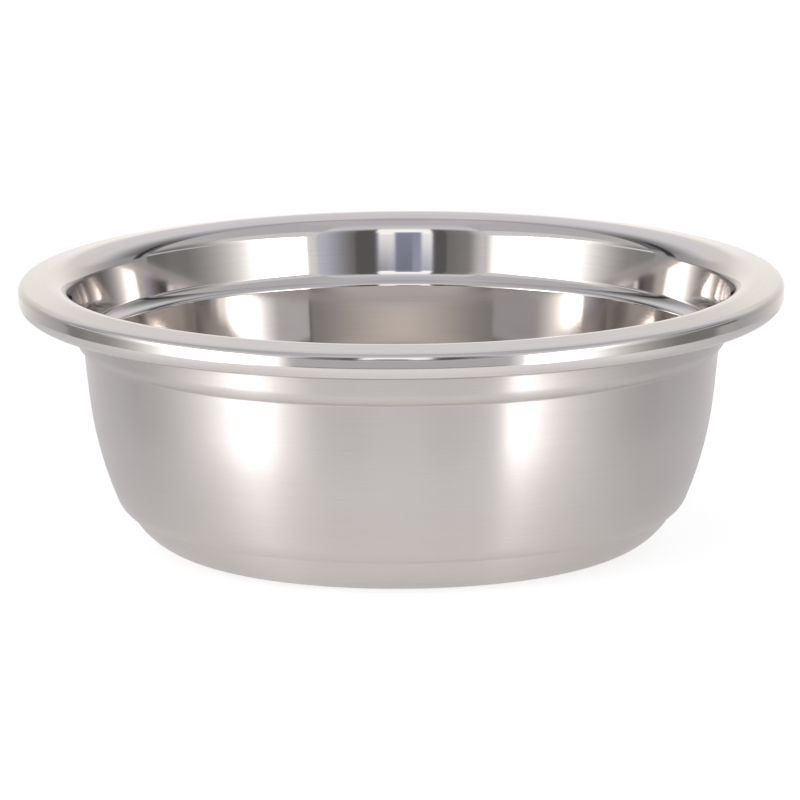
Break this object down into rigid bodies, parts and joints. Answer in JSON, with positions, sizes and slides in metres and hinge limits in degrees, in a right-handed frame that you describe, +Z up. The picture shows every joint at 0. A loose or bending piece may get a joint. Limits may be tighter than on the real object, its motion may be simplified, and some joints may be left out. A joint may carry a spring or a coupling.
{
  "type": "dog bowl",
  "caption": "Round stainless feeding bowl, deep drawn from sheet, with a rounded body, stepped shoulder, flared neck and broad rolled rim.",
  "frame": {"origin": "centre of the base, on the plane of the flat ring that the bowl stands on", "axes": "+Z up along the bowl's axis, out of the mouth; the picture was taken from -Y, and +X is at its right"},
  "size_m": [0.26, 0.26, 0.093],
  "materials": {
    "steel": "satin outside with fine hairlines around the axis, polished inside and on the rim"
  },
  "bodies": {
    "root": {"bowl": "steel"}
  },
  "joints": []
}
